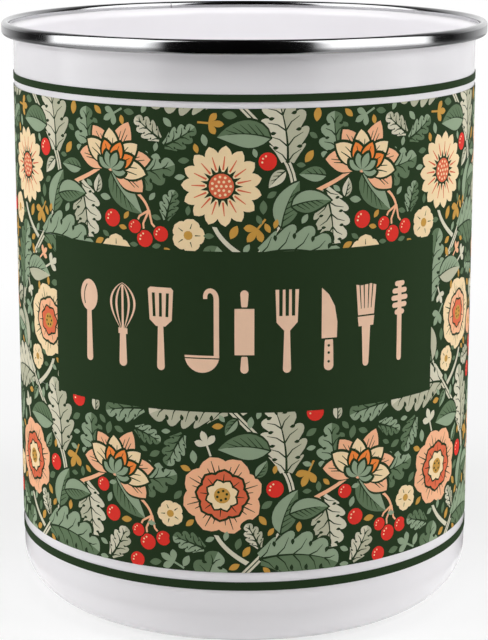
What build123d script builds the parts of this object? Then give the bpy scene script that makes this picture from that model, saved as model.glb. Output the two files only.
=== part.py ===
from build123d import *
import math
import os

# Round enamelled steel utensil holder with a rolled rim trim and wrapped prints.
# +Z is up, the origin is on the table under the middle of the base, and the label faces -Y.

# Driving sizes, in millimetres and degrees
holder_height = 153.9         # table to the top of the rim trim
body_diameter = 121.0         # outside of the straight enamelled wall
steel_thickness = 0.6         # pressed sheet
enamel_thickness = 0.2        # fused coat, on each face of the sheet
base_corner_radius = 13.0     # outside of the curve from the wall to the foot ring
foot_ring_width = 5.0         # flat ring that the holder stands on
base_rise = 1.5               # base panel above the foot ring
base_blend_radius = 3.0       # each half of the step from the foot ring to the base panel
rim_bend_radius = 1.0         # outside of the bend from the wall to the flange
trim_width = 2.0              # rolled trim, across its section in plan
trim_wall = 0.35              # trim strip
trim_lip_rise = 1.8           # trim above the flange
trim_lip_drop = 0.8           # trim below the flange
flange_end_clearance = 0.2    # edge of the flange to the inside of the trim
trim_joint_gap = 0.2          # butt joint of the trim strip
trim_joint_angle = 20.0       # butt joint from the middle of the back
print_thickness = 0.1         # fired print
print_clearance = 0.1         # print to the wall under it, so that the round faces stay apart
print_seam_gap = 0.3          # ends of each wrapped print, at the middle of the back
lower_stripe_margin = 4.3     # end of the corner curve to the lower stripe
lower_stripe_width = 2.2
lower_stripe_gap = 2.5        # bare line between the lower stripe and the pattern
upper_stripe_margin = 9.25    # start of the rim bend to the upper stripe
upper_stripe_width = 1.8
upper_stripe_gap = 1.55       # bare line between the upper stripe and the pattern
label_width = 108.0           # measured along the wall
label_height = 39.8
label_rise = 3.4              # middle of the label above the middle of the pattern
label_clearance = 0.1         # label to the window in the pattern

# Pressed body
body_radius = body_diameter / 2
wall_thickness = steel_thickness + 2 * enamel_thickness
foot_outer_radius = body_radius - base_corner_radius
foot_inner_radius = foot_outer_radius - foot_ring_width
step_angle = math.degrees(math.acos(1 - base_rise / (2 * base_blend_radius)))
step_run = 2 * base_blend_radius * math.sin(math.radians(step_angle))
panel_radius = foot_inner_radius - step_run
flange_top = holder_height - trim_lip_rise
flange_bottom = flange_top - wall_thickness
bend_height = flange_bottom - rim_bend_radius

# Rim trim
trim_inner_radius = body_radius + rim_bend_radius
trim_outer_radius = trim_inner_radius + trim_width
trim_height = trim_lip_drop + wall_thickness + trim_lip_rise
flange_radius = trim_outer_radius - trim_wall - flange_end_clearance

# Prints, as radii and as heights above the table
print_inner_radius = body_radius + print_clearance
print_outer_radius = print_inner_radius + print_thickness
lower_stripe_low = base_corner_radius + lower_stripe_margin
lower_stripe_high = lower_stripe_low + lower_stripe_width
pattern_low = lower_stripe_high + lower_stripe_gap
upper_stripe_high = bend_height - upper_stripe_margin
upper_stripe_low = upper_stripe_high - upper_stripe_width
pattern_high = upper_stripe_low - upper_stripe_gap
label_middle = (pattern_low + pattern_high) / 2 + label_rise
label_low = label_middle - label_height / 2
label_high = label_middle + label_height / 2

back_angle = 90.0             # +Y, seen from above
front_angle = 270.0           # -Y


# Half section of the pressing at a depth below its outer face, from the axis to the flange edge
def section_line(depth):
    panel_height = base_rise + depth
    flange_height = flange_bottom + depth
    panel_blend_centre = (panel_radius, base_rise - base_blend_radius)
    foot_blend_centre = (foot_inner_radius, base_blend_radius)
    corner_centre = (foot_outer_radius, base_corner_radius)
    bend_centre = (trim_inner_radius, bend_height)
    return [
        Line((0, panel_height), (panel_radius, panel_height)),
        CenterArc(panel_blend_centre, base_blend_radius + depth, 90, -step_angle),
        CenterArc(foot_blend_centre, base_blend_radius - depth, 270 - step_angle, step_angle),
        Line((foot_inner_radius, depth), (foot_outer_radius, depth)),
        CenterArc(corner_centre, base_corner_radius - depth, 270, 90),
        Line((body_radius - depth, base_corner_radius), (body_radius - depth, bend_height)),
        CenterArc(bend_centre, rim_bend_radius + depth, 180, -90),
        Line((trim_inner_radius, flange_height), (flange_radius, flange_height)),
    ]


# One layer of the body between two depths
def body_layer(outer_depth, inner_depth):
    axis_side = Line((0, base_rise + outer_depth), (0, base_rise + inner_depth))
    edge_low = (flange_radius, flange_bottom + outer_depth)
    edge_high = (flange_radius, flange_bottom + inner_depth)
    flange_edge = Line(edge_low, edge_high)
    outline = section_line(outer_depth) + [flange_edge] + section_line(inner_depth) + [axis_side]
    return revolve(Plane.XZ * make_face(outline), axis=Axis.Z)


# Angle that a length along the prints takes up
def wall_angle(length):
    return math.degrees(length / print_outer_radius)


# Rectangle of the half section, swept round the axis from one angle
def swept_patch(inner_radius, outer_radius, low, high, start_angle, arc):
    corner = Pos(inner_radius, low)
    profile = corner * Rectangle(outer_radius - inner_radius, high - low, align=(Align.MIN, Align.MIN))
    return Rot(0, 0, start_angle) * revolve(Plane.XZ * profile, axis=Axis.Z, revolution_arc=arc)


# Print wrapped round the wall, with its seam at the back
def wrapped_print(low, high):
    seam = wall_angle(print_seam_gap)
    return swept_patch(print_inner_radius, print_outer_radius, low, high, back_angle + seam / 2, 360 - seam)


# Window in the pattern that the label lies in
def label_window():
    arc = wall_angle(label_width + 2 * label_clearance)
    low = label_low - label_clearance
    high = label_high + label_clearance
    return swept_patch(0, trim_outer_radius, low, high, front_angle - arc / 2, arc)


def label_patch():
    arc = wall_angle(label_width)
    start_angle = front_angle - arc / 2
    return swept_patch(print_inner_radius, print_outer_radius, label_low, label_high, start_angle, arc)


# Strip rolled into a C that grips the flange from above and below, closed by a butt joint
def rolled_trim():
    middle = Pos(trim_inner_radius + trim_width / 2, holder_height - trim_height / 2)
    outside = middle * SlotOverall(trim_height, trim_width, rotation=90)
    hollow = middle * SlotOverall(trim_height - 2 * trim_wall, trim_width - 2 * trim_wall, rotation=90)
    mouth_corner = Pos(trim_inner_radius, flange_bottom)
    mouth = mouth_corner * Rectangle(trim_width / 2, wall_thickness, align=(Align.MIN, Align.MIN))
    joint = math.degrees(trim_joint_gap / trim_outer_radius)
    start_angle = back_angle + trim_joint_angle + joint / 2
    ring = revolve(Plane.XZ * (outside - hollow - mouth), axis=Axis.Z, revolution_arc=360 - joint)
    return Rot(0, 0, start_angle) * ring


steel_inner_depth = enamel_thickness + steel_thickness
pieces = {
    "steel_body": body_layer(enamel_thickness, steel_inner_depth),
    "outer_enamel": body_layer(0, enamel_thickness),
    "inner_enamel": body_layer(steel_inner_depth, wall_thickness),
    "rim_trim": rolled_trim(),
    "lower_stripe": wrapped_print(lower_stripe_low, lower_stripe_high),
    "pattern_band": wrapped_print(pattern_low, pattern_high) - label_window(),
    "label_panel": label_patch(),
    "upper_stripe": wrapped_print(upper_stripe_low, upper_stripe_high),
}

os.makedirs("parts", exist_ok=True)
for name, piece in pieces.items():
    export_step(piece, f"parts/{name}.step")
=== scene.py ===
import math
import random
from math import cos, pi, sin

import bpy
import numpy as np
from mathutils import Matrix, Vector
from mathutils.geometry import delaunay_2d_cdt


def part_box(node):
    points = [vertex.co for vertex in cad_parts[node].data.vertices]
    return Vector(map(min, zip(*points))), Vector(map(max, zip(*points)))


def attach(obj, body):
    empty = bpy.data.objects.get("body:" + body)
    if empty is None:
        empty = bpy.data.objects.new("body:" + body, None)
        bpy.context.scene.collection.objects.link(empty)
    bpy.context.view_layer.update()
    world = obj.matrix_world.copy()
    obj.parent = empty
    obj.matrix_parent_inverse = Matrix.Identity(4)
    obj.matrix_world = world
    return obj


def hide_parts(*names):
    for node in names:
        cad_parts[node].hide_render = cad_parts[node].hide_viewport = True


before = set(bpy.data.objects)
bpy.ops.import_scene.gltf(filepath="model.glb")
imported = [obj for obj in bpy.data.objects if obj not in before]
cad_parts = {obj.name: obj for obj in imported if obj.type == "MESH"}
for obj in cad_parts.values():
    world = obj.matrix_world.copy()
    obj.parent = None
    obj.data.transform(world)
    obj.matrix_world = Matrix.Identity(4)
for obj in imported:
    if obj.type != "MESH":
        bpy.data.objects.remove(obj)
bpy.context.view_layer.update()        # CAD nodes at their real size, in metres

root = "root"
mm = 0.001
fullTurn = 2 * pi
weldDistance = mm / 10000
smoothAngle = math.radians(35)
print("frame loaded:", sorted(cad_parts))

photoCamera = {
    "place": (-0.0001, -0.54827, 0.19802),
    "tiltDown": 0.225,       # radians below level
    "lens": 116.58,          # on the 36 mm long side
    "clipStart": 0.01,
}


def setCamera():
    tilt = pi / 2 - photoCamera["tiltDown"]
    bpy.ops.object.camera_add(location=photoCamera["place"], rotation=(tilt, 0, 0))
    camera = bpy.context.object
    camera.data.lens = photoCamera["lens"]
    camera.data.clip_start = photoCamera["clipStart"]
    bpy.context.scene.camera = camera


setCamera()
print("camera set")


class Wire:
    # a node socket that takes Python maths

    def __init__(self, tree, socket=None):
        self.tree = tree
        self.socket = socket

    def add(self, kind, settings=None, sockets=None, out=0):
        node = self.tree.nodes.new(f"ShaderNode{kind}")
        for name, value in (settings or {}).items():
            if name == "stops":
                self.setStops(node.color_ramp, value)
            else:
                setattr(node, name, value)
        for name, value in (sockets or {}).items():
            if isinstance(value, Wire):
                self.tree.links.new(value.socket, node.inputs[name])
            else:
                node.inputs[name].default_value = value
        return Wire(self.tree, node.outputs[out] if len(node.outputs) else None)

    def other(self, name):        # another output of the same node
        return Wire(self.tree, self.socket.node.outputs[name])

    def setStops(self, ramp, stops):
        while len(ramp.elements) < len(stops):
            ramp.elements.new(1)
        for element, (place, colour) in zip(ramp.elements, stops):
            element.position = place
            element.color = (*colour, 1)

    def maths(self, operation, first, second=0.0):
        return self.add("Math", {"operation": operation}, {0: first, 1: second})

    def __add__(self, other):
        return self.maths("ADD", self, other)

    def __radd__(self, other):
        return self.maths("ADD", other, self)

    def __sub__(self, other):
        return self.maths("SUBTRACT", self, other)

    def __rsub__(self, other):
        return self.maths("SUBTRACT", other, self)

    def __mul__(self, other):
        return self.maths("MULTIPLY", self, other)

    def __rmul__(self, other):
        return self.maths("MULTIPLY", other, self)

    def __truediv__(self, other):
        return self.maths("DIVIDE", self, other)


def linear(colour):          # 0 to 255 screen colour to shader colour
    shares = [c / 255 for c in colour]
    return tuple(s / 12.92 if s <= 0.04045 else ((s + 0.055) / 1.055) ** 2.4 for s in shares)


def newFinish(name):             # the material, its first wire and the place on the piece
    material = bpy.data.materials.new(name)
    material.use_nodes = True
    material.node_tree.nodes.clear()
    wire = Wire(material.node_tree)
    return material, wire, wire.add("TexCoord", out=3)


def noise(wire, place, scale, detail=2.0, roughness=0.5):
    sockets = {"Vector": place, "Scale": scale, "Detail": detail, "Roughness": roughness}
    return wire.add("TexNoise", None, sockets)


def tint(wire, factor, low, high):
    first, second = [c if isinstance(c, Wire) else (*c, 1) for c in (low, high)]
    return wire.add("Mix", {"data_type": "RGBA"}, {0: factor, 6: first, 7: second}, out=2)


def twoTone(wire, factor, shades):
    return tint(wire, factor, linear(shades[0]), linear(shades[1]))


def closeFinish(wire, finish, colour, gloss, relief):
    low, high = finish["gloss"]
    rough = low + (high - low) * gloss
    strength, depth = finish["bump"]
    sockets = {"Strength": strength, "Distance": depth, "Height": relief}
    normal = wire.add("Bump", None, sockets)
    sockets = {"Base Color": colour, "Roughness": rough, "Normal": normal, **finish["fixed"]}
    shader = wire.add("BsdfPrincipled", None, sockets)
    wire.add("OutputMaterial", None, {"Surface": shader})


enamelGlaze = {
    "shades": ((232, 230, 233), (239, 237, 240)),
    "cloud": (18.0, 3.0),    # faint clouds in the white: per metre, detail
    "ripple": (260.0, 1.0),  # orange peel of the fired glaze
    "bump": (0.25, 0.02 * mm),           # strength, depth of the ripple
    "gloss": (0.10, 0.17),
    "fixed": {"IOR": 1.5},
}


def enamelFinish():
    material, wire, place = newFinish("white_enamel_glaze")
    cloud = noise(wire, place, *enamelGlaze["cloud"])
    ripple = noise(wire, place, *enamelGlaze["ripple"])
    closeFinish(wire, enamelGlaze, twoTone(wire, cloud, enamelGlaze["shades"]), cloud, ripple)
    return material


polishedStrip = {
    "shades": ((198, 199, 201), (208, 208, 209)),
    "lines": (9000.0, 2.0),  # rolling lines along the strip: per metre, detail
    "smudge": (60.0, 3.0),
    "bump": (0.3, 0.004 * mm),           # of the lines
    "gloss": (0.07, 0.16),
    "fixed": {"Metallic": 1.0},
}


def trimFinish():
    material, wire, place = newFinish("polished_strip")
    flat = wire.add("VectorMath", {"operation": "MULTIPLY"}, {0: place, 1: (1, 1, 0)})
    outward = wire.add("VectorMath", {"operation": "LENGTH"}, {0: flat}, out=1)
    height = wire.add("SeparateXYZ", None, {0: place}, out=2)
    across = wire.add("CombineXYZ", None, {"X": outward, "Y": height})
    lines = noise(wire, across, *polishedStrip["lines"])
    smudge = noise(wire, place, *polishedStrip["smudge"])
    colour = twoTone(wire, smudge, polishedStrip["shades"])
    closeFinish(wire, polishedStrip, colour, 0.5 * lines + 0.5 * smudge, lines)
    return material


pressedSheet = {
    "shades": ((176, 177, 180), (196, 196, 198)),
    "grain": (1400.0, 2.0),
    "drawn": (1, 1, 0.05),   # the grain runs up the wall
    "bump": (0.2, 0.01 * mm),
    "gloss": (0.35, 0.5),
    "fixed": {"Metallic": 1.0},
}


def steelFinish():
    material, wire, place = newFinish("pressed_sheet")
    drawn = wire.add("VectorMath", {"operation": "MULTIPLY"}, {0: place, 1: pressedSheet["drawn"]})
    grain = noise(wire, drawn, *pressedSheet["grain"])
    closeFinish(wire, pressedSheet, twoTone(wire, grain, pressedSheet["shades"]), grain, grain)
    return material


firedInk = {
    "mottle": (420.0, 3.0),  # uneven ink: per metre, detail
    "grain": (2600.0, 1.0),  # of the print
    "mottleShare": 0.6,      # the grain has the rest
    "spread": 0.06,          # share that the colour varies by
    "bump": (0.2, 0.01 * mm),            # of the mottle
    "gloss": (0.45, 0.6),
    "fixed": {"Specular IOR Level": 0.07},
}


def inkFinish(name, colour):
    material, wire, place = newFinish(name)
    mottle = noise(wire, place, *firedInk["mottle"])
    grain = noise(wire, place, *firedInk["grain"])
    spread, share = firedInk["spread"], firedInk["mottleShare"]
    deep = [c * (1 - spread) for c in linear(colour)]
    pale = [c * (1 + spread) for c in linear(colour)]
    colour = tint(wire, share * mottle + (1 - share) * grain, deep, pale)
    closeFinish(wire, firedInk, colour, grain, mottle)
    return material


def deselectAll():
    if bpy.context.object and bpy.context.object.mode == "EDIT":
        bpy.ops.object.mode_set(mode="OBJECT")
    bpy.ops.object.select_all(action="DESELECT")


def selectMesh():
    bpy.ops.mesh.select_all(action="SELECT")


def applyModifier(piece, kind, settings):
    deselectAll()
    bpy.context.view_layer.objects.active = piece
    piece.select_set(True)
    modifier = piece.modifiers.new(kind.lower(), kind)
    for name, value in settings.items():
        setattr(modifier, name, value)
    bpy.ops.object.modifier_apply(modifier=modifier.name)
    bpy.ops.object.shade_smooth_by_angle(angle=smoothAngle)


def arc(centre, radius, start, turn, steps):      # degrees, in the half section
    points = []
    for step in range(steps + 1):
        angle = math.radians(start + turn * step / steps)
        points.append((centre[0] + radius * cos(angle), centre[1] + radius * sin(angle)))
    return points


def spinProfile(name, outline, steps, start=0.0, turn=fullTurn):
    # closed half section, drawn point by point in the XZ plane and spun round the Z axis
    deselectAll()
    bpy.ops.mesh.primitive_plane_add(size=mm)
    piece = bpy.context.object
    piece.name = name
    piece.data.name = name
    bpy.ops.object.mode_set(mode="EDIT")
    selectMesh()
    bpy.ops.mesh.merge(type="CENTER")
    drawn = [Vector((r * cos(start), r * sin(start), z)) for r, z in outline]
    bpy.ops.transform.translate(value=drawn[0])
    for here, there in zip(drawn, drawn[1:] + drawn[:1]):
        bpy.ops.mesh.extrude_region_move(TRANSFORM_OT_translate={"value": there - here})
    selectMesh()
    bpy.ops.mesh.remove_doubles(threshold=weldDistance)
    if turn < fullTurn:
        bpy.ops.mesh.edge_face_add()              # the two ends are closed
    bpy.ops.mesh.spin(steps=steps, angle=turn, center=(0, 0, 0), axis=(0, 0, 1))
    selectMesh()
    bpy.ops.mesh.remove_doubles(threshold=weldDistance)
    bpy.ops.mesh.delete_loose()
    selectMesh()
    bpy.ops.mesh.normals_make_consistent(inside=False)
    bpy.ops.object.mode_set(mode="OBJECT")
    bpy.ops.object.shade_smooth_by_angle(angle=smoothAngle)
    return piece


def unrollMap(piece):             # wall unrolled, for what is printed on it
    mesh = piece.data
    while mesh.uv_layers:
        mesh.uv_layers.remove(mesh.uv_layers[0])
    places = np.zeros(len(mesh.vertices) * 3, np.float32)
    mesh.vertices.foreach_get("co", places)
    corners = np.zeros(len(mesh.loops), np.int32)
    mesh.loops.foreach_get("vertex_index", corners)
    x, y, z = places.reshape(-1, 3)[corners].T
    along = np.arctan2(x, -y) / fullTurn + 0.5
    low, high = bandBox[0].z, bandBox[1].z
    unrolled = mesh.uv_layers.new(name="OFBake")
    unrolled.data.foreach_set("uv", np.stack([along, (z - low) / (high - low)], axis=1).ravel())


def finishPiece(piece, material, slot, *nodes):
    piece.data.materials.clear()
    piece.data.materials.append(material)
    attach(piece, root)
    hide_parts(*nodes)
    print("made", piece.name, len(piece.data.polygons), "faces")
    return piece


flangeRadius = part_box("outer_enamel")[1].x
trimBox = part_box("rim_trim")
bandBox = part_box("pattern_band")
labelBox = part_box("label_panel")
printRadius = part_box("lower_stripe")[1].x

pot = {
    "wallRadius": 60.5 * mm,
    "wallThickness": 1.0 * mm,
    "enamelThickness": 0.2 * mm,
    "cornerRadius": 13.0 * mm,
    "footWidth": 5.0 * mm,
    "panelRise": 1.5 * mm,
    "blendRadius": 3.0 * mm,
    "bendRadius": 1.0 * mm,
    "flangeTop": 152.1 * mm,
    "holdingEdge": 0.4 * mm,     # keeps the long straight runs flat where they meet a curve
    "panelHold": 2.0 * mm,
    "blendSteps": 8,
    "cornerSteps": 20,
    "bendSteps": 10,
    "steps": 288,
}


def sectionLine(depth):
    # from the axis out to the flange edge, at a depth below the outside
    p = pot
    footOuter = p["wallRadius"] - p["cornerRadius"]
    footInner = footOuter - p["footWidth"]
    blend = p["blendRadius"]
    stepAngle = math.degrees(math.acos(1 - p["panelRise"] / (2 * blend)))
    panelRadius = footInner - 2 * blend * sin(math.radians(stepAngle))
    flangeBottom = p["flangeTop"] - p["wallThickness"]
    bendHeight = flangeBottom - p["bendRadius"]
    bendCentre = (p["wallRadius"] + p["bendRadius"], bendHeight)
    wall = p["wallRadius"] - depth
    hold = p["holdingEdge"]
    panel = p["panelRise"] + depth
    panelCentre = (panelRadius, p["panelRise"] - blend)
    corner = p["cornerRadius"]
    line = [(0, panel), (panelRadius - p["panelHold"], panel)]
    line += arc(panelCentre, blend + depth, 90, -stepAngle, p["blendSteps"])
    line += arc((footInner, blend), blend - depth, 270 - stepAngle, stepAngle, p["blendSteps"])
    line += arc((footOuter, corner), corner - depth, 270, 90, p["cornerSteps"])
    line += [(wall, corner + hold), (wall, bendHeight - hold)]
    line += arc(bendCentre, p["bendRadius"] + depth, 180, -90, p["bendSteps"])
    line += [(flangeRadius, flangeBottom + depth)]
    return line


def enamelShell(name, outerDepth, innerDepth):
    outline = sectionLine(outerDepth) + sectionLine(innerDepth)[::-1]
    return spinProfile(name, outline, pot["steps"])


enamelMaterial = enamelFinish()
coat = pot["enamelThickness"]
wallDepth = pot["wallThickness"]
outside = enamelShell("enamel_outside", 0, coat)
finishPiece(outside, enamelMaterial, "white_enamel", "outer_enamel")
inside = enamelShell("enamel_inside", wallDepth - coat, wallDepth)
finishPiece(inside, enamelMaterial, "white_enamel", "inner_enamel")
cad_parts["steel_body"].data.materials.clear()
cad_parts["steel_body"].data.materials.append(steelFinish())

rolledTrim = {
    "outerRadius": 63.5 * mm,
    "width": 2.0 * mm,
    "low": trimBox[0].z,
    "high": trimBox[1].z,
    "wall": 0.35 * mm,
    "lipRound": 0.1 * mm,
    "jointGap": 0.2 * mm,
    "jointAngle": math.radians(110),    # from +X, at the back
    "outerSteps": 20,             # of a half turn of the section
    "innerSteps": 12,
    "steps": 360,
}


def trimOutline():
    # C section, from the upper lip over the top and down the outside to the lower lip, and back inside
    t = rolledTrim
    inner = t["outerRadius"] - t["width"]
    middle = t["outerRadius"] - t["width"] / 2
    bend = t["width"] / 2
    upper = (middle, t["high"] - bend)
    lower = (middle, t["low"] + bend)
    mouthHigh = pot["flangeTop"]
    mouthLow = pot["flangeTop"] - pot["wallThickness"]
    lip = t["lipRound"]
    wall = t["wall"]
    line = [(inner, mouthHigh + lip)]
    line += arc(upper, bend, 180, -180, t["outerSteps"])
    line += arc(lower, bend, 0, -180, t["outerSteps"])
    line += [(inner, mouthLow - lip), (inner + lip, mouthLow), (inner + wall, mouthLow)]
    line += arc(lower, bend - wall, 180, 180, t["innerSteps"])
    line += arc(upper, bend - wall, 0, 180, t["innerSteps"])
    line += [(inner + wall, mouthHigh), (inner + lip, mouthHigh)]
    return line


def makeTrim():
    t = rolledTrim
    gap = t["jointGap"] / t["outerRadius"]
    start = t["jointAngle"] + gap / 2
    return spinProfile("rolled_rim_trim", trimOutline(), t["steps"], start, fullTurn - gap)


finishPiece(makeTrim(), trimFinish(), "polished_trim", "rim_trim")

bandPrint = {
    "innerRadius": 60.6 * mm,
    "groundRadius": 60.67 * mm,   # the green ground, with the coloured inks on it
    "edgeRound": 0.02 * mm,
    "seamGap": 0.3 * mm,          # at the middle of the back
    "steps": 324,
    "labelSteps": 96,
    "labelClearance": 0.1 * mm,   # label to its window in the ground
    "cutterReach": 2.0 * mm,
    "green": (36, 54, 30),
}
backAngle = pi / 2
frontAngle = -pi / 2


def plateOutline(low, high, outer):
    inner = bandPrint["innerRadius"]
    edge = bandPrint["edgeRound"]
    below = [(inner, low), (outer - edge, low), (outer, low + edge)]
    return below + [(outer, high - edge), (outer - edge, high), (inner, high)]


def wrappedBand(name, box, outer):
    gap = bandPrint["seamGap"] / printRadius
    outline = plateOutline(box[0].z, box[1].z, outer)
    return spinProfile(name, outline, bandPrint["steps"], backAngle + gap / 2, fullTurn - gap)


def frontPatch(name, outline, halfAngle):
    return spinProfile(name, outline, bandPrint["labelSteps"], frontAngle - halfAngle, 2 * halfAngle)


greenInk = inkFinish("green_fired_print", bandPrint["green"])
for level in ("upper", "lower"):
    stripe = wrappedBand(f"{level}_green_stripe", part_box(f"{level}_stripe"), printRadius)
    finishPiece(stripe, greenInk, "green_print", f"{level}_stripe")
labelHalf = math.asin(labelBox[1].x / printRadius)
labelOutline = plateOutline(labelBox[0].z, labelBox[1].z, bandPrint["groundRadius"])
label = frontPatch("green_label", labelOutline, labelHalf)
finishPiece(label, greenInk, "green_print", "label_panel")
windowHalf = labelHalf + bandPrint["labelClearance"] / printRadius
windowLow = labelBox[0].z - bandPrint["labelClearance"]
windowHigh = labelBox[1].z + bandPrint["labelClearance"]


def cutWindow(piece):
    # the label's window, cut out of the ground
    near = printRadius - bandPrint["cutterReach"]
    far = printRadius + bandPrint["cutterReach"]
    block = [(near, windowLow), (far, windowLow), (far, windowHigh), (near, windowHigh)]
    cutter = frontPatch("window_cutter", block, windowHalf)
    applyModifier(piece, "BOOLEAN", {"operation": "DIFFERENCE", "object": cutter})
    bpy.data.objects.remove(cutter)


ground = wrappedBand("floral_ground", bandBox, bandPrint["groundRadius"])
cutWindow(ground)
unrollMap(ground)
finishPiece(ground, inkFinish("floral_ground_ink", bandPrint["green"]), "floral_print", "pattern_band")

# The floral print is drawn flat, in millimetres:
# x along the wall from the front, y up from its lower edge.
floral = {
    "repeats": 6,                 # round the pot
    "height": (bandBox[1].z - bandBox[0].z) / mm,
    "bendGap": 38.5,              # from one bend of the vine to the next
    "firstBend": 19.0,
    "swing": 12.0,                # of the vine, to each side
    "stem": 1.45,
    "sideLean": 66,               # degrees, of the flowers seen from the side
    "columns": 27,                # flat facets of a repeat on the round wall
    "fillSeed": 11,
    "fillGrid": 1.0,
    "fillSmallest": 1.5,
    "plate": 0.03 * mm,           # thickness of the inks on the ground
    "pinchGap": 0.01,
    "margin": 20.0,               # by which the cutting lines run past the sheet
    "merge": 0.002,               # cut points nearer than this are one
}
repeatWidth = fullTurn * printRadius / mm / floral["repeats"]
inks = {
    "moss": (95, 116, 86),
    "sage": (142, 160, 132),
    "putty": (182, 181, 156),
    "stone": (210, 205, 182),
    "cream": (238, 212, 168),
    "peach": (240, 180, 140),
    "coral": (216, 104, 70),
    "red": (220, 50, 40),
    "orange": (236, 134, 60),
    "ochre": (196, 148, 66),
}
bare = "ground"                   # no ink, so that the green shows
stemLayer, leafLayer, flowerLayer, fillLayer = range(4)
greenLeaf = ("sage", "moss")
paleLeaf = ("stone", "putty")
greyLeaf = ("putty", "sage")
sheet = []                        # (layer, ink, outline), later ones over earlier ones


def put(layer, ink, outline):
    sheet.append((layer, ink, outline))


def placed(points, x, y, angle=0.0, flip=1):
    c, s = cos(angle), sin(angle)
    return [(x + flip * (c * px - s * py), y + s * px + c * py) for px, py in points]


def rib(length, curl, t):         # point and heading along a curled rib
    if abs(curl) < 0.001:
        return length * t, 0.0, 0.0
    a = curl * t
    return length * sin(a) / curl, length * (1 - cos(a)) / curl, a


def swell(t, belly, fullness):    # 0 at both ends, 1 at the widest place
    return sin(pi * t ** belly) ** fullness if 0 < t < 1 else 0.0


def sided(length, curl, width, steps, reach=lambda t: 0.0):
    # left edge, right edge and rib of a leaf whose width is a function
    left, right, middle = [], [], []
    for step in range(steps + 1):
        t = step / steps
        x, y, a = rib(length, curl, t)
        middle.append((x, y))
        x += cos(a) * reach(t)
        y += sin(a) * reach(t)
        half = width(t) / 2
        left.append((x - sin(a) * half, y + cos(a) * half))
        right.append((x + sin(a) * half, y - cos(a) * half))
    return left, right, middle


def blade(length, width, belly=0.8, fullness=0.85, curl=0.0, steps=9):
    left, right, middle = sided(length, curl, lambda t: width * swell(t, belly, fullness), steps)
    return left + right[-2:0:-1]


def strip(path, start, end=None):         # widths at its two ends
    end = start if end is None else end
    left, right = [], []
    last = len(path) - 1
    for i, (x, y) in enumerate(path):
        x0, y0 = path[max(i - 1, 0)]
        x1, y1 = path[min(i + 1, last)]
        run = math.hypot(x1 - x0, y1 - y0)
        half = (start + (end - start) * (i / last)) / 2
        nx, ny = -(y1 - y0) / run * half, (x1 - x0) / run * half
        left.append((x + nx, y + ny))
        right.append((x - nx, y - ny))
    return left + right[::-1]


def oval(x, y, wide, high, steps=30):
    turns = [fullTurn * i / steps for i in range(steps)]
    return [(x + wide / 2 * cos(a), y + high / 2 * sin(a)) for a in turns]


def dot(ink, x, y, radius, steps=14, layer=flowerLayer):
    put(layer, ink, oval(x, y, 2 * radius, 2 * radius, steps))


def sweep(p0, p1, p2, p3, steps=16):
    path = []
    for i in range(steps + 1):
        t = i / steps
        shares = ((1 - t) ** 3, 3 * (1 - t) ** 2 * t, 3 * (1 - t) * t * t, t ** 3)
        path.append(tuple(sum(s * p[k] for s, p in zip(shares, (p0, p1, p2, p3))) for k in (0, 1)))
    return path


def around(x, y, radius, angle):
    return x + radius * cos(angle), y + radius * sin(angle)


def pen(layer, x, y, angle, flip):       # draws at one place and heading
    return lambda ink, outline: put(layer, ink, placed(outline, x, y, angle, flip))


def scallopedLeaf(layer, halves, x, y, angle, length, width, curl=0.6, flip=1, lobes=5):
    # two inks each side of a bare rib, veins to the lobes and an eye at the foot of each notch
    steps = lobes * 7

    def lobe(t):
        return swell((t * lobes) % 1.0, 0.8, 0.6)

    def breadth(t):
        return width * swell(min(t * 0.95 + 0.05, 1), 0.75, 0.7) * (0.58 + 0.42 * lobe(t))

    def reach(t):
        return 0.62 * lobe(t) * length / lobes * (1 - t) ** 0.35

    draw = pen(layer, x, y, angle, flip)
    left, right, middle = sided(length, curl, breadth, steps, reach)
    rim = sided(length + 0.9, curl, lambda t: breadth(t) + 1.3 if 0 < t < 1 else 0.6, steps, reach)
    draw(bare, rim[0] + rim[1][::-1])
    for ink, edge in zip(halves, (left, right)):
        draw(ink, edge + middle[-2:0:-1])
    draw(bare, strip(middle[1:int(steps * 0.86)], 0.62, 0.2))
    for k in range(lobes):
        for side, points in ((1, left), (-1, right)):
            ax, ay, heading = rib(length, curl, (k + 0.05) / lobes)
            tipX, tipY = points[int((k + 0.62) / lobes * steps)]
            dx, dy = 0.74 * (tipX - ax), 0.74 * (tipY - ay)
            middlePoint = (ax + dx / 2 + 0.1 * side * dy, ay + dy / 2 - 0.1 * side * dx)
            draw(bare, strip([(ax, ay), middlePoint, (ax + dx, ay + dy)], 0.42, 0.13))
            if k == 0:
                continue
            notchX, notchY = points[int(k / lobes * steps)]
            ribX, ribY, heading = rib(length, curl, k / lobes)
            dx, dy = notchX - ribX, notchY - ribY
            eye = blade(0.13 * width, 0.075 * width, 1.2, 0.8, 0, 7)
            draw(bare, placed(eye, ribX + 0.7 * dx, ribY + 0.7 * dy, math.atan2(dy, dx)))


def pointedLeaf(layer, halves, x, y, angle, length, width, curl=0.4, flip=1, combs=5):
    # two inks, with combed veins on the second one

    def breadth(t):
        return width * swell(t, 0.78, 0.9)

    draw = pen(layer, x, y, angle, flip)
    left, right, middle = sided(length, curl, breadth, 10)
    draw(bare, placed(blade(length + 1.0, width + 1.3, 0.78, 0.9, curl, 10), -0.4, 0))
    for ink, edge in zip(halves, (left, right)):
        draw(ink, edge + middle[-2:0:-1])
    draw(bare, strip(middle[:9], 0.42, 0.13))
    for k in range(combs):
        t = 0.12 + 0.62 * k / combs
        ax, ay, heading = rib(length, curl, t)
        bx, by, heading = rib(length, curl, t + 0.2)
        half = 0.37 * breadth(t + 0.2)
        tip = (bx + sin(heading) * half, by - cos(heading) * half)
        draw(bare, strip([(ax, ay), tip], 0.3, 0.1))


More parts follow.
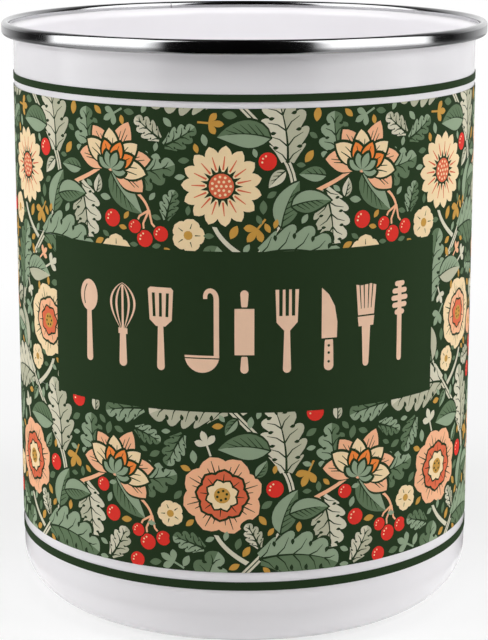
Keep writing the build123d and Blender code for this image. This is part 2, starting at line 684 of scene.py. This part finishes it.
def petalRing(ink, x, y, inner, length, width, count, turn, belly=1.6, fullness=0.62, steps=10):
    for k in range(count):
        a = turn + fullTurn * k / count
        petal = blade(length, width, belly, fullness, 0, steps)
        put(flowerLayer, ink, placed(petal, *around(x, y, inner, a), a))


def petalRays(ink, x, y, inner, outer, count, turn, width, fan=(0.0,)):
    for k in range(count):
        for lean in fan:
            a = turn + fullTurn * k / count + lean
            far = outer - 2.2 * abs(lean) * (outer - inner)
            line = [around(x, y, inner, a), around(x, y, far, a)]
            put(flowerLayer, ink, strip(line, width, 0.4 * width))


def rose(x, y, r, turn, colours, petals):
    outer, inner, heart, eye = colours
    halfway = turn + pi / petals

    def ring(ink, reach, wide, *form):
        petalRing(ink, x, y, 0, r * reach, r * wide / petals, petals, *form)

    dot(bare, x, y, r + 0.3, 28)
    ring(outer, 1, 5.9, turn, 1.75, 0.62, 14)
    petalRays(bare, x, y, r * 0.56, r * 0.9, petals, turn, 0.38, (-0.19, 0, 0.19))
    ring(bare, 0.68, 4.3, halfway)
    ring(inner, 0.62, 3.6, halfway)
    petalRays(bare, x, y, r * 0.36, r * 0.54, petals, halfway, 0.34)
    ring(bare, 0.44, 2.6, turn, 1.3, 0.75, 8)
    ring(heart, 0.39, 2.1, turn, 1.3, 0.75, 8)
    dot(eye, x, y, r * 0.2)
    for k in range(6):
        dot(bare, *around(x, y, r * 0.12, turn + k * pi / 3), r * 0.036, 6)


def daisy(x, y, r, turn, colours, petals):
    outer, ray, eye, seed = colours
    dot(bare, x, y, r + 0.3, 28)
    petalRing(outer, x, y, r * 0.3, r * 0.7, r * 5.2 / petals, petals, turn, 1.5, 0.7)
    petalRays(ray, x, y, r * 0.4, r * 0.74, petals, turn, 0.5)
    dot(bare, x, y, r * 0.36, 18)
    dot(eye, x, y, r * 0.31, 18)
    for share, count in ((0.23, 11), (0.12, 6), (0.0, 1)):
        for k in range(count):
            dot(seed, *around(x, y, share * r, fullTurn * k / count), r * 0.036, 6)


def sideFlower(x, y, angle, colours, flip):
    # seen from the side: fans of petals, each in front of the last, on a leafy cup
    outer, middle, inner, cup = colours

    def petal(ink, lean, length, width, curl, lines=()):
        turn = math.radians(lean)
        sweepBy = curl * lean / 60

        def draw(colour, outline):
            put(flowerLayer, colour, placed(placed(outline, 0, 0, turn), x, y, angle, flip))

        draw(bare, blade(length + 0.8, width + 1.1, 1.15, 0.8, sweepBy, 12))
        draw(ink, blade(length, width, 1.15, 0.8, sweepBy, 12))
        for off in lines:
            points = [rib(length, sweepBy, t)[:2] for t in (0.42, 0.6, 0.86 - 0.9 * abs(off))]
            draw(bare, placed(strip(points, 0.4, 0.16), 0, 0, off))

    for lean in (78, -78, 42, -42, 0):
        petal(outer, lean, 12.6 - 0.028 * abs(lean), 5.6, 0.5, (-0.1, 0, 0.1))
    for lean in (60, -60, 22, -22):
        petal(middle, lean, 9.8, 4.6, 0.4, (-0.11, 0.11))
    for lean in (36, -36, 0):
        petal(inner, lean, 7.0, 3.4, 0.2, (0,))
    for lean in (95, -95, 50, -50, 0):
        petal(cup, lean, 4.3, 2.0, -0.4)


def smallFlower(x, y, r, turn, ink, eye):
    dot(bare, x, y, r + 0.3, 16)
    petalRing(ink, x, y, 0, r, r * 0.98, 5, turn, 1.7, 0.6, 9)
    petalRays(bare, x, y, r * 0.4, r * 0.72, 5, turn, 0.3)
    dot(eye, x, y, r * 0.27, 10)


def berry(x, y, r):
    dot(bare, x, y, r + 0.35, 16, fillLayer)
    dot("red", x, y, r, 16, fillLayer)
    for a in (1.9, 2.6, 3.3):
        dot("cream", *around(x, y, r * 0.6, a), r * 0.12, 6, fillLayer)


def berrySpray(x, y, angle, size=1.0):
    ends = [(u * size, v * size) for u, v in ((5.6, 3.0), (7.0, -1.2), (4.2, -3.9))]
    spots = placed(ends, x, y, angle)
    for bx, by in spots:
        middle = ((x + bx) / 2 + 0.14 * (by - y), (y + by) / 2 - 0.14 * (bx - x))
        put(fillLayer, "peach", strip([(x, y), middle, (bx, by)], 0.6, 0.45))
    for (bx, by), r in zip(spots, (1.9, 2.1, 1.7)):
        berry(bx, by, r * size)


def trefoil(x, y, angle, size, ink):
    for lean, share in ((0.95, 0.82), (-0.95, 0.82), (0.0, 1.0)):
        leaflet = blade(size * share, size * 0.44, 1.4, 0.75, 0, 7)
        put(fillLayer, ink, placed(leaflet, x, y, angle + lean))
    put(fillLayer, ink, placed(strip([(0, 0), (-size * 0.7, 0)], 0.5), x, y, angle))


def stemAt(v):                    # place and heading of the vine, at a height from the middle of a bend
    wave = pi / floral["bendGap"]
    slope = -floral["swing"] * wave * sin(wave * v)
    return floral["swing"] * cos(wave * v), math.atan2(1, slope)


def vineBend(y0, bloom, flip, sideInks, leaves):
    # one bend of the vine with its two flowers and its leaves; flip mirrors it
    main, other, small = leaves
    flower, radius, turn, flowerInks, petals = bloom
    gap = floral["bendGap"]
    path = [(flip * stemAt(gap * (i / 20 - 0.5))[0], y0 + gap * (i / 20 - 0.5)) for i in range(21)]

    def twig(ink, wide, thin, *points):
        line = [(flip * u, y0 + v) for u, v in sweep(*points)]
        put(stemLayer, bare, strip(line, wide + 1, thin + 1))
        put(stemLayer, ink, strip(line, wide, thin))

    def leafAt(kind, halves, u, v, degrees, length, width, curl):
        kind(leafLayer, halves, flip * u, y0 + v, math.radians(degrees), length, width, curl, flip)

    def stemLeaf(kind, halves, v, side, lean, length, width, curl):
        u, heading = stemAt(v)
        leafAt(kind, halves, u, v, math.degrees(heading) + side * lean, length, width, side * curl)

    twig("stone", 1.2, 0.8, (1.5, -17), (-4.0, -14), (-12.0, -8.0), (-5.5, 1.0))
    twig("peach", 1.2, 0.8, (11.2, -5), (17.0, 1.0), (22.0, 0.0), (29.5, 6.5))
    twig("peach", 0.9, 0.6, (28, 5), (33.0, 0.0), (39.0, -1.0), (40.0, -6.0))
    for ink, wide in ((bare, floral["stem"] + 1.2), ("stone", floral["stem"]), (bare, 0.3)):
        put(stemLayer, ink, strip(path, wide))
    leafAt(scallopedLeaf, other, 19.5, 0.0, -68, 16, 9.6, -0.5)
    leafAt(scallopedLeaf, main, 30.0, 4.0, -8, 17, 10.0, 0.5)
    leafAt(scallopedLeaf, main, 25.0, 4.0, 116, 15, 9.2, -0.5)
    leafAt(pointedLeaf, small, 29.5, 3.0, -62, 13, 6.2, 0.5)
    stemLeaf(scallopedLeaf, main, -15.5, -1, 32, 21, 12.5, 0.75)
    stemLeaf(scallopedLeaf, other, 6.5, -1, 29, 19, 11.5, -0.5)
    stemLeaf(pointedLeaf, small, -9.0, 1, 26, 12, 6.2, -0.5)
    stemLeaf(pointedLeaf, small, 12.5, 1, 32, 13, 6.6, 0.6)
    stemLeaf(pointedLeaf, small, -4.0, -1, 52, 10, 5.4, 0.5)
    berrySpray(flip * 40.0, y0 - 5.5, -pi / 2)
    flower(flip * -5.5, y0 + 1.0, radius, turn * flip, flowerInks, petals)
    sideFlower(flip * 29.5, y0 + 4.0, math.radians(floral["sideLean"]), sideInks, flip)


def insideOutline(px, py, outline):
    inside = np.zeros(len(px), bool)
    x0, y0 = outline[-1]
    for x1, y1 in outline:
        if y0 != y1:
            inside ^= ((y1 > py) != (y0 > py)) & (px < (x0 - x1) * (py - y1) / (y0 - y1) + x1)
        x0, y0 = x1, y1
    return inside


def fillGaps():
    # the widest bare place gets the largest sprig that fits, until only small ones are left
    dice = random.Random(floral["fillSeed"])
    across = int(repeatWidth / floral["fillGrid"])
    up = int(floral["height"] / floral["fillGrid"])
    gx, gy = np.meshgrid(np.arange(across) + 0.5, np.arange(up) + 0.5)
    gx = gx.ravel() * repeatWidth / across
    gy = gy.ravel() * floral["height"] / up
    space = np.minimum(gy, floral["height"] - gy) + 1.2
    covered = np.zeros(len(gx), bool)
    seen = 0
    while True:
        edge = []
        for layer, ink, outline in sheet[seen:]:
            if ink == bare:
                continue
            edge += outline[::2]
            xs, ys = zip(*outline)
            for move in (-repeatWidth, 0, repeatWidth):
                wide = (gx > min(xs) + move) & (gx < max(xs) + move)
                near = np.nonzero(wide & (gy > min(ys)) & (gy < max(ys)))[0]
                covered[near] |= insideOutline(gx[near] - move, gy[near], outline)
        seen = len(sheet)
        for some in range(0, len(edge), 400):
            part = np.array(edge[some:some + 400])
            dx = gx[:, None] - part[:, 0]
            dx -= repeatWidth * np.round(dx / repeatWidth)
            dy = gy[:, None] - part[:, 1]
            space = np.minimum(space, np.sqrt((dx * dx + dy * dy).min(axis=1)))
        free = np.where(covered, 0, space)
        widest = int(np.argmax(free))
        room = float(free[widest])
        if room < floral["fillSmallest"]:
            break
        sprig(dice, float(gx[widest]), float(gy[widest]), room)


def sprig(dice, x, y, room):
    turn = dice.uniform(0, fullTurn)
    if room > 3.9:
        kind = dice.choice(("leaf", "leaf", "leaf", "flower"))
        if kind == "leaf":
            halves = dice.choice((greenLeaf, paleLeaf))
            foot = around(x, y, -0.85 * room, turn)
            curl = dice.uniform(-0.4, 0.4)
            scallopedLeaf(fillLayer, halves, *foot, turn, room * 1.8, room * 1.15, curl, 1, 4)
        else:
            smallFlower(x, y, min(room - 0.7, 4.2), turn, dice.choice(("peach", "cream")), "ochre")
    elif room > 2.5:
        kind = dice.choice(("trefoil", "trefoil", "blade", "blade", "berry"))
        if kind == "berry":
            berry(x, y, min(room - 0.75, 2.2))
        elif kind == "blade":
            halves = dice.choice((greenLeaf, paleLeaf))
            foot = around(x, y, -0.9 * room, turn)
            pointedLeaf(fillLayer, halves, *foot, turn, room * 1.8, room * 0.95, 0.3, 1, 3)
        else:
            ink = dice.choice(("sage", "stone", "peach", "ochre"))
            trefoil(*around(x, y, -0.3 * room, turn), turn, room * 1.1, ink)
    else:
        leaflet = blade(room * 1.5, room * 0.8, 1.0, 0.8, 0, 7)
        ink = dice.choice(("moss", "sage", "ochre"))
        put(fillLayer, ink, placed(leaflet, *around(x, y, -0.75 * room, turn), turn))


def drawFloral():
    peachRose = (rose, 10.2, 0.3, ("peach", "coral", "cream", "ochre"), 8)
    creamRose = (rose, 9.6, -0.1, ("cream", "peach", "coral", "ochre"), 7)
    creamDaisy = (daisy, 9.8, 0.2, ("cream", "coral", "coral", "cream"), 15)
    goldBend = (-1, ("ochre", "cream", "coral", "sage"), (paleLeaf, greenLeaf, greyLeaf))
    orangeBend = (1, ("peach", "cream", "orange", "sage"), (greenLeaf, paleLeaf, greenLeaf))
    for number, bloom in enumerate((creamRose, peachRose, creamRose, creamDaisy, peachRose)):
        height = floral["firstBend"] + floral["bendGap"] * (number - 1)
        vineBend(height, bloom, *(orangeBend if number % 2 else goldBend))
    fillGaps()
    return [(ink, outline) for layer, ink, outline in sorted(sheet, key=lambda shape: shape[0])]


def cutSheet(shapes, width, height, uprights, levels):
    # the flat sheet, cut into triangles along every outline and line, and the shape on top of each
    points, edges = [], []

    def line(path, closed):
        first = len(points)
        points.extend(Vector(p) for p in path)
        edges.extend((first + i, first + i + 1) for i in range(len(path) - 1))
        if closed:
            edges.append((len(points) - 1, first))

    margin = floral["margin"]
    for ink, outline in shapes:
        line(outline, True)
    for x in uprights:
        line([(x, -margin), (x, height + margin)], False)
    for y in levels:
        line([(-margin, y), (width + margin, y)], False)
    spots, borders, faces = delaunay_2d_cdt(points, edges, [], 0, floral["merge"], False)[:3]
    spots = np.array(spots)
    faces = np.array(faces)
    centres = spots[faces].mean(axis=1)
    kept = ((centres > 0) & (centres < (width, height))).all(axis=1)
    faces, centres = faces[kept], centres[kept]
    top = np.full(len(faces), -1)
    for number, (ink, outline) in enumerate(shapes):
        low, high = np.min(outline, axis=0), np.max(outline, axis=0)
        near = np.nonzero(((centres > low) & (centres < high)).all(axis=1))[0]
        top[near[insideOutline(centres[near, 0], centres[near, 1], outline)]] = number
    return spots, faces, centres, top


def partPinches(spots, triangles):
    # where the ink meets itself at one point alone, each side is drawn back a hair
    pairs = np.sort(triangles[:, [0, 1, 1, 2, 2, 0]].reshape(-1, 2), axis=1)
    edges, uses = np.unique(pairs, axis=0, return_counts=True)
    rims = np.bincount(edges[uses == 1].ravel(), minlength=len(spots))
    spots = list(spots)
    for pinch in np.nonzero(rims > 2)[0]:
        corner, place = pinch, spots[pinch]
        fan = np.nonzero((triangles == pinch).any(axis=1))[0].tolist()
        while fan:
            side = [fan.pop()]
            for face in side:
                joined = [f for f in fan if len(np.intersect1d(triangles[f], triangles[face])) > 1]
                side += joined
                fan = [f for f in fan if f not in joined]
            middle = np.mean([spots[i] for i in triangles[side].ravel() if i != pinch], axis=0)
            triangles[side] = np.where(triangles[side] == pinch, corner, triangles[side])
            drawn = place + floral["pinchGap"] * (middle - place) / np.linalg.norm(middle - place)
            spots[corner:corner + 1] = [drawn]
            corner = len(spots)
    return np.array(spots), triangles


def wrapPlate(name, corners, base):
    # flat triangles, in millimetres, wrapped on the ground and given their thickness
    spots, index = np.unique(np.round(corners.reshape(-1, 2), 4), axis=0, return_inverse=True)
    triangles = index.reshape(-1, 3)
    flat = (triangles[:, 0] == triangles[:, 1]) | (triangles[:, 1] == triangles[:, 2])
    flat |= triangles[:, 2] == triangles[:, 0]
    spots, triangles = partPinches(spots, triangles[~flat])
    angle = spots[:, 0] * mm / printRadius
    outer = bandPrint["groundRadius"] + floral["plate"]
    places = np.stack([outer * np.sin(angle), -outer * np.cos(angle), base + spots[:, 1] * mm], axis=1)
    mesh = bpy.data.meshes.new(name)
    mesh.from_pydata(places.tolist(), [], triangles.tolist())
    piece = bpy.data.objects.new(name, mesh)
    bpy.context.scene.collection.objects.link(piece)
    applyModifier(piece, "SOLIDIFY", {"thickness": floral["plate"], "offset": -1})
    unrollMap(piece)
    return piece


def columnLines(width, count):
    return [width * i / count for i in range(count + 1)]


def makeFloral():
    width, height, repeats = repeatWidth, floral["height"], floral["repeats"]
    shapes = []
    for ink, outline in drawFloral():
        xs = [x for x, y in outline]
        for move in (-width, 0, width):
            if max(xs) + move > 0 and min(xs) + move < width:
                shapes.append((ink, [(x + move, y) for x, y in outline]))
    half = (labelHalf * printRadius + bandPrint["labelClearance"]) / mm
    low, high = (windowLow - bandBox[0].z) / mm, (windowHigh - bandBox[0].z) / mm
    seam = bandPrint["seamGap"] / mm / 2
    uprights = columnLines(width, floral["columns"]) + [half % width, -half % width, seam, width - seam]
    spots, faces, centres, top = cutSheet(shapes, width, height, uprights, (0, height, low, high))
    topInk = np.array([bare] + [ink for ink, outline in shapes])[top + 1]
    corners, inkOf = [], []
    for number in range(repeats):
        move = (number - repeats / 2) * width
        x, y = centres[:, 0] + move, centres[:, 1]
        window = (np.abs(x) < half) & (y > low) & (y < high)
        kept = (topInk != bare) & ~window & (np.abs(x) < repeats * width / 2 - seam)
        corners.append(spots[faces[kept]] + (move, 0))
        inkOf.append(topInk[kept])
    corners, inkOf = np.concatenate(corners), np.concatenate(inkOf)
    for ink, colour in inks.items():
        piece = wrapPlate(f"floral_{ink}", corners[inkOf == ink], bandBox[0].z)
        finishPiece(piece, inkFinish(f"{ink}_ink", colour), "floral_print", "pattern_band")


makeFloral()


# A row of plain kitchen tools fills the label, drawn flat like the print.
toolRow = {
    "ink": (236, 197, 168),
    "foot": 9.8,                  # above the label's lower edge
    "spacing": 10.4,
    "columns": 46,
}
toolInk = "tool"


def bar(x0, y0, x1, y1, start, end=None):
    return strip([(x0, y0), (x1, y1)], start, end)


def roundBar(x0, y0, x1, y1, start, end):
    return [bar(x0, y0, x1, y1, start, end), oval(x0, y0, start, start, 14), oval(x1, y1, end, end, 14)]


def upright(outline, x, y):       # a blade stood on its foot
    return placed(outline, x, y, pi / 2)


def spoonShapes():
    drawn = roundBar(0, 1, 0, 14, 2.0, 1.4) + [oval(0, 16.7, 5.6, 8.0)]
    return drawn, [strip(sweep((-1.3, 14.4), (-1.9, 16), (-1.6, 18), (-0.6, 19.4)), 0.3)]


def whiskShapes():
    wires = []
    for wide, ink in ((7.4, True), (6.2, False), (4.2, True), (3.0, False)):
        wires.append((ink, upright(blade(12.6 - 0.1 * (7.4 - wide), wide, 1.35, 0.72, 0, 24), 0, 8.4)))
    drawn = roundBar(0, 1.1, 0, 8.6, 2.2, 1.7)
    drawn += [bar(0, 8.6, 0, 20.4, 0.6), bar(0, 8.2, 0, 9.6, 2.6)]
    return drawn, [], wires


def turnerShapes():
    head = [(-1.2, 11), (1.2, 11), (2.9, 12.6), (3.3, 20.1), (2.7, 20.7)]
    head += [(-x, y) for x, y in head[:1:-1]]
    slots = [bar(x, 13.4, 1.12 * x, 19.3, 0.75) for x in (-1.65, 0, 1.65)]
    return roundBar(0, 1, 0, 11.4, 2.0, 1.4) + [head], slots


def ladleShapes():
    turns = [pi * (1 + i / 16) for i in range(17)]
    bowl = [(4.3 * cos(a), 4.3 + 4.3 * sin(a)) for a in turns]
    hook = sweep((3.6, 18.2), (3.6, 21.2), (0.6, 21.2), (0.9, 18.4))
    drawn = [bowl, bar(3.6, 4.3, 3.6, 18.4, 1.3), strip(hook, 1.3, 1.0)]
    return drawn, [bar(-4.5, 3.6, 4.5, 3.6, 0.3)]


def rollingPinShapes():
    drawn = [bar(0, 4.6, 0, 16.1, 4.8)]
    drawn += roundBar(0, 1, 0, 3.7, 2.0, 1.6) + roundBar(0, 19.7, 0, 17.0, 2.0, 1.6)
    return drawn, [bar(-3, 4.4, 3, 4.4, 0.4), bar(-3, 16.3, 3, 16.3, 0.4)]


def forkShapes():
    head = [(-0.8, 10.6), (0.8, 10.6), (2.6, 12.6), (2.9, 20.7), (-2.9, 20.7), (-2.6, 12.6)]
    gaps = [bar(x, 14.2, x, 20.9, 0.8, 0.9) for x in (-1.55, 0, 1.55)]
    return roundBar(0, 1, 0, 11, 2.0, 1.4) + [head], gaps


def knifeShapes():
    edge = [(-1.7, 8.0), (2.3, 8.0), (2.4, 12), (1.7, 16), (0.1, 19), (-1.7, 20.7)]
    rivets = [oval(0.2, y, 0.7, 0.7, 10) for y in (2.2, 4.4, 6.2)]
    return roundBar(0.2, 1.2, 0.2, 7.2, 2.5, 2.2) + [edge], rivets + [bar(-2, 7.9, 3, 7.9, 0.4)]


def brushShapes():
    bristles = [(-2.3, 13.0), (2.3, 13.0), (2.9, 20.2), (1.4, 20.7), (-1.4, 20.4), (-2.9, 20.7)]
    lines = [bar(0.75 * x, 14.6, x, 20.9, 0.2, 0.4) for x in (-1.9, -0.7, 0.7, 1.9)]
    drawn = roundBar(0, 0.9, 0, 10, 1.7, 2.4) + [bar(0, 10.2, 0, 12.6, 4.2, 4.8), bristles]
    return drawn, lines


def dipperShapes():
    drawn = roundBar(0, 0.8, 0, 13, 1.5, 1.5)
    for y, wide in ((12.4, 3.2), (14.2, 4.8), (16.0, 5.4), (17.8, 4.8), (19.6, 3.2)):
        drawn += roundBar(0.65 - wide / 2, y, wide / 2 - 0.65, y, 1.3, 1.3)
    return drawn + [bar(0, 13, 0, 19.6, 1.2)], []


def makeLabelTools():
    # the ink of each tool, with bare lines over it
    width, height = 2 * labelHalf * printRadius / mm, (labelBox[1].z - labelBox[0].z) / mm
    row = (spoonShapes, whiskShapes, turnerShapes, ladleShapes, rollingPinShapes)
    row += (forkShapes, knifeShapes, brushShapes, dipperShapes)
    shapes = []
    for number, tool in enumerate(row):
        x = width / 2 + (number - (len(row) - 1) / 2) * toolRow["spacing"]
        drawn, lines, *wires = tool()
        layers = [(toolInk if ink else bare, outline) for ink, outline in (wires[0] if wires else [])]
        layers += [(toolInk, outline) for outline in drawn] + [(bare, outline) for outline in lines]
        shapes += [(ink, placed(outline, x, toolRow["foot"])) for ink, outline in layers]
    columns = columnLines(width, toolRow["columns"])
    spots, faces, centres, top = cutSheet(shapes, width, height, columns, (0, height))
    inked = np.array([False] + [ink == toolInk for ink, outline in shapes])[top + 1]
    piece = wrapPlate("label_tools", spots[faces[inked]] - (width / 2, 0), labelBox[0].z)
    finishPiece(piece, inkFinish("label_tool_ink", toolRow["ink"]), "floral_print", "label_panel")


makeLabelTools()
print("prints made")


studio = {
    "floorSize": 12.0,
    "floor": (250, 250, 250),
    "floorGrain": 3.0,            # per metre
    "floorMottle": 0.97,
    "floorGlow": 0.75,            # share of plain white in the floor, the rest takes the shadow
    "floorWhitens": (0.1, 0.4),   # from the pot out, to plain white
    "worldFill": 0.05,            # soft light from all round
    "aim": (0, 0, 0.08),
    "pairedLamps": (              # degrees from the camera's side, distance, height, size, power
        ("softbox", 60, 1.3, 0.9, (0.4, 0.7), 8.1),
        ("low_light", 95, 1.3, 0.13, (0.4, 0.1), 5.0),
        ("edge_light", 125, 1.3, 0.15, (0.4, 0.7), 6.6),
    ),
    "highLamps": (
        ("top_softbox", 0, 0.18, 0.5, (0.12, 0.12), 0.65),
        ("mouth_light", 0, 0.045, 0.22, (0.06, 0.06), 0.062),
    ),
    "surroundRadius": 1.9,
    "surroundHeight": 3.7,
    "surroundFoot": 0.07,
    "surroundSteps": 72,
    "panelGlow": 1.9,
    "panelTurn": 3,               # degrees that the panels stand round to the left
    "panelEnd": 102,              # degrees, the wall past this is behind the pot
    "backFade": (0.5, 2.4),       # heights over which the wall behind goes dark
    "floorFade": (1.05, 1.3),     # where the near floor gives way to the far one
    "roofShade": 0.03,
    "wallFoot": 0.1,
    "near": (                     # degrees, share of the panels' light
        (0, 0.0004), (32, 0.0004), (43, 0.24), (95, 0.22), (106, 0.066), (124, 0.08), (140, 0.185),
        (180, 0.185),
    ),
    "ground": (
        (0, 0.0004), (33, 0.0004), (43, 1), (93, 1), (99, 0.004), (114, 0.005),
        (124, 0.043), (134, 0.145), (144, 0.25), (154, 0.34), (180, 0.45),
    ),
    "wall": (
        (0, 0.0004), (33, 0.0004), (40, 1), (93, 1), (99, 0.004), (114, 0.02),
        (124, 0.145), (135, 0.29), (145, 0.38), (154, 0.46), (180, 0.47),
    ),
}


def whiteShare(wire):             # 1 for what the camera, metal and glass see
    camera = wire.add("LightPath")
    anySeen = camera + camera.other("Is Glossy Ray") + camera.other("Is Transmission Ray")
    return anySeen.maths("MINIMUM", anySeen, 1.0)


def makeWorld():
    world = bpy.data.worlds.new("studio_white")
    bpy.context.scene.world = world
    world.use_nodes = True
    world.node_tree.nodes.clear()
    wire = Wire(world.node_tree)
    fill = studio["worldFill"]
    strength = fill + (1 - fill) * whiteShare(wire)
    back = wire.add("Background", None, {"Color": (1, 1, 1, 1), "Strength": strength})
    wire.add("OutputWorld", None, {"Surface": back})


def makeFloor():
    deselectAll()
    bpy.ops.mesh.primitive_plane_add(size=studio["floorSize"])
    floor = bpy.context.object
    floor.name = "studio_floor"
    material, wire, place = newFinish("pale_floor")
    grain = noise(wire, place, studio["floorGrain"])
    shade = linear(studio["floor"])
    paper = tint(wire, grain, [studio["floorMottle"] * c for c in shade], shade)
    outward = wire.add("VectorMath", {"operation": "LENGTH"}, {0: place}, out=1)
    near, clear = studio["floorWhitens"]
    ends = {1: near, 2: clear, 3: studio["floorGlow"], 4: 1.0}
    share = wire.add("MapRange", None, {0: outward, **ends})
    matt = wire.add("BsdfDiffuse", None, {"Color": paper})
    glow = wire.add("Emission", None, {"Color": (1, 1, 1, 1), "Strength": 1.0})
    mixed = wire.add("MixShader", None, {0: share * whiteShare(wire), 1: matt, 2: glow})
    wire.add("OutputMaterial", None, {"Surface": mixed})
    floor.data.materials.append(material)


def softBox(name, degrees, far, height, size, power):
    angle = math.radians(degrees)
    place = Vector((far * sin(angle), -far * cos(angle), height))
    turn = (Vector(studio["aim"]) - place).to_track_quat("-Z", "Y").to_euler()
    bpy.ops.object.light_add(type="AREA", location=place, rotation=turn)
    lamp = bpy.context.object
    lamp.name = name
    lamp.data.shape = "RECTANGLE"
    lamp.data.size, lamp.data.size_y = size
    lamp.data.energy = power
    lamp.visible_camera = False
    lamp.visible_glossy = False   # reflections show the surround instead


def makeSurround():
    # seen only in reflections:
    # dark behind the camera and overhead, white panels at the sides, grey behind the pot
    far, up, foot = studio["surroundRadius"], studio["surroundHeight"], studio["surroundFoot"]
    outline = [(foot, mm), (far, mm), (far, up), (0, up), (0, up + mm)]
    outline += [(far + mm, up + mm), (far + mm, 0.5 * mm), (foot, 0.5 * mm)]
    surround = spinProfile("studio_surround", outline, studio["surroundSteps"])
    material, wire, place = newFinish("studio_panels")
    x = wire.add("SeparateXYZ", None, {0: place})
    y, z = x.other("Y"), x.other("Z")
    degrees = wire.maths("ARCTAN2", x, 0 - y) * (180 / pi) + studio["panelTurn"]
    share = wire.maths("ABSOLUTE", degrees) / 180
    shades = []
    for part in ("near", "ground", "wall"):
        stops = [(angle / 180, (grey, grey, grey)) for angle, grey in studio[part]]
        shades.append(wire.add("ValToRGB", {"stops": stops}, {0: share}))
    near, clear = studio["floorFade"]
    outward = wire.maths("SQRT", x * x + y * y)
    beyond = wire.add("MapRange", None, {0: outward, 1: near, 2: clear})
    flooring = tint(wire, beyond, shades[0], shades[1])
    onWall = wire.maths("GREATER_THAN", z, studio["wallFoot"])
    shade = tint(wire, onWall, flooring, shades[2])
    behind = wire.maths("GREATER_THAN", share, studio["panelEnd"] / 180)
    low, high = studio["backFade"]
    fade = 1 - behind * wire.add("MapRange", None, {0: z, 1: low, 2: high})
    roof = 1 - (1 - studio["roofShade"]) * wire.maths("GREATER_THAN", z, up - mm)
    strength = studio["panelGlow"] * fade * roof
    glow = wire.add("Emission", None, {"Color": shade, "Strength": strength})
    wire.add("OutputMaterial", None, {"Surface": glow})
    surround.data.materials.append(material)
    for ray in ("camera", "diffuse", "shadow", "transmission"):
        setattr(surround, f"visible_{ray}", False)


def makeStudio():
    makeWorld()
    makeFloor()
    makeSurround()
    for name, degrees, *rest in studio["pairedLamps"]:
        softBox(f"left_{name}", -degrees, *rest)
        softBox(f"right_{name}", degrees, *rest)
    for lamp in studio["highLamps"]:
        softBox(*lamp)
    bpy.context.scene.view_settings.view_transform = "Standard"


makeStudio()
print("studio set")
